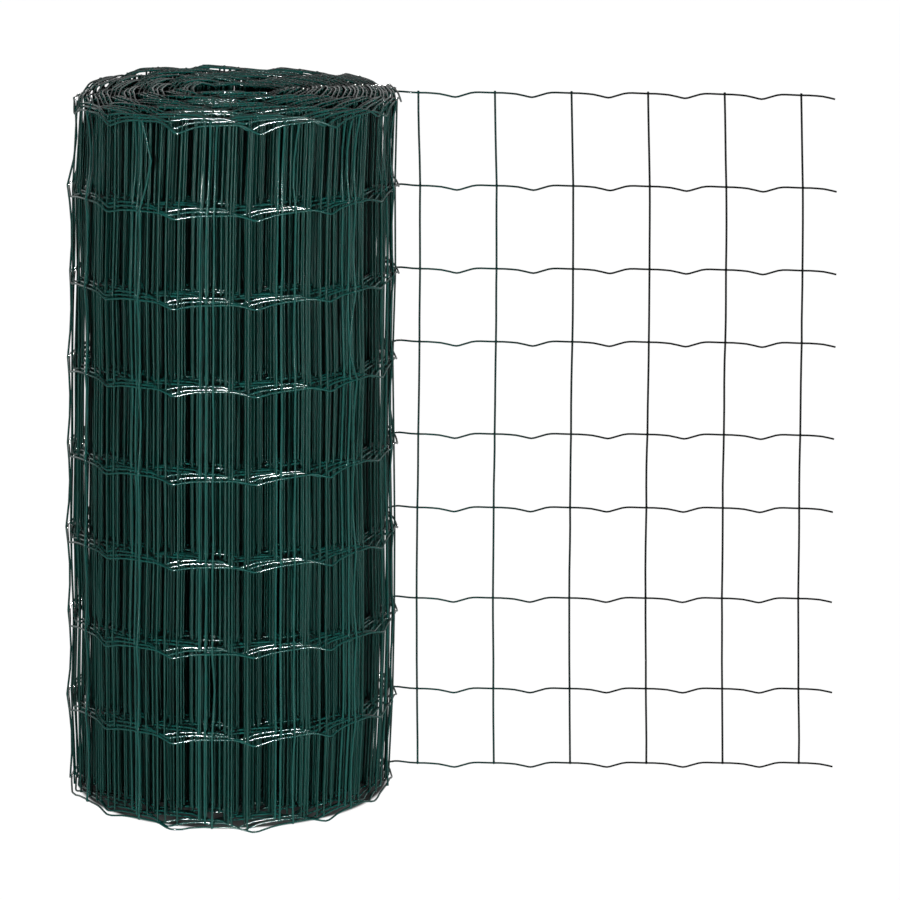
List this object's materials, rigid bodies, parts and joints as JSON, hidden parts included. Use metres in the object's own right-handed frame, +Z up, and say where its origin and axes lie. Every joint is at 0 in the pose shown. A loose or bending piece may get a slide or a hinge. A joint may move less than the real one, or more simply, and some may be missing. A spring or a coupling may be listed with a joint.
{
  "type": "roll of welded wire fencing",
  "caption": "Upright roll of green plastic-coated welded wire fencing with crimped line wires, an open core and its free end bent out as a flat sheet.",
  "frame": {"origin": "on the roll's axis, on the floor that the roll stands on", "axes": "+Z up along the roll's axis, +X along the free end away from the roll, -Y towards the front of the roll"},
  "size_m": [0.8789, 0.377, 0.8],
  "materials": {
    "coated_wire": "glossy dark green plastic coating on steel wire"
  },
  "bodies": {
    "root": {"wound_roll": "coated_wire", "free_end": "coated_wire"}
  },
  "joints": []
}
